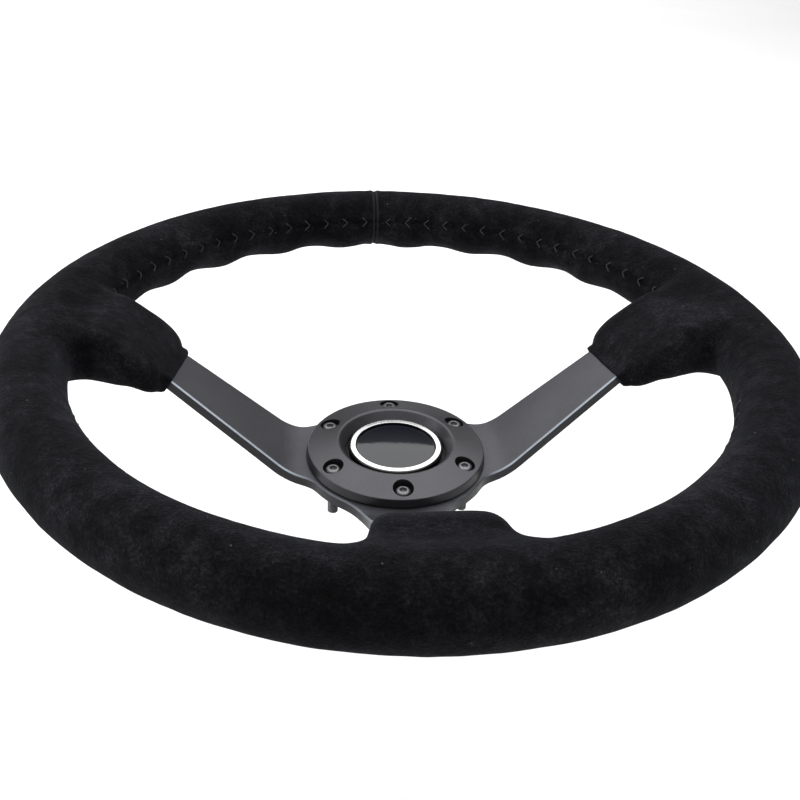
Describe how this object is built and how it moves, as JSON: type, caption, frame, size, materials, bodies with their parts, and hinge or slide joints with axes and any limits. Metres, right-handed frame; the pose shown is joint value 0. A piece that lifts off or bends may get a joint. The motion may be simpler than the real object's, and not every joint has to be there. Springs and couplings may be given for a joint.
{
  "type": "steering wheel",
  "caption": "Deep-dish motorsport steering wheel: suede-covered round rim on an aluminium spoke frame, bolted hub ring and a sprung horn push in the centre.",
  "frame": {"origin": "centre of the hub plate's rear face, on the steering axis", "axes": "+Z points along the steering axis at the driver, +Y points at 12 o'clock, +X at 3 o'clock as the driver sees it"},
  "size_m": [0.35, 0.3498, 0.0924],
  "materials": {
    "frame_anodised": "brushed, black anodised, with bright worn chamfers",
    "core_aluminium": "mill finish",
    "foam": "moulded polyurethane foam",
    "suede": "brushed black suede with a short nap",
    "lacing": "waxed black sewing thread",
    "ring_anodised": "satin black anodised",
    "screw_black": "black oxide, slightly glossy",
    "moulding": "moulded black plastic",
    "spring_wire": "drawn spring wire",
    "contact_brass": "rolled brass",
    "bezel_chrome": "bright chrome plate",
    "emblem_gloss": "polished black, domed"
  },
  "bodies": {
    "wheel": {"spoke_frame": "frame_anodised", "rim_core_ring": "core_aluminium", "spoke_rivets": "core_aluminium", "rim_foam": "foam", "rim_cover": "suede", "seam_lacing_upper": "lacing", "seam_lacing_left": "lacing", "seam_lacing_right": "lacing", "hub_ring": "ring_anodised", "hub_screws": "screw_black", "horn_housing": "moulding", "horn_spring": "spring_wire", "horn_ground_plate": "contact_brass", "horn_live_post": "contact_brass", "horn_ground_rivet": "contact_brass", "horn_live_terminal": "contact_brass", "horn_ground_terminal": "contact_brass"},
    "horn_button": {"horn_cap": "moulding", "horn_bezel": "bezel_chrome", "horn_emblem": "emblem_gloss", "horn_moving_contact": "contact_brass", "horn_contact_rivets": "contact_brass"}
  },
  "joints": [
    {"name": "horn_press", "type": "slide", "parent": "wheel", "child": "horn_button", "axis": [0, 0, -1], "range_m": [0, 0.002], "stiffness_N_per_m": 3000, "springref_m": -0.002, "deforming": ["horn_spring"]}
  ]
}
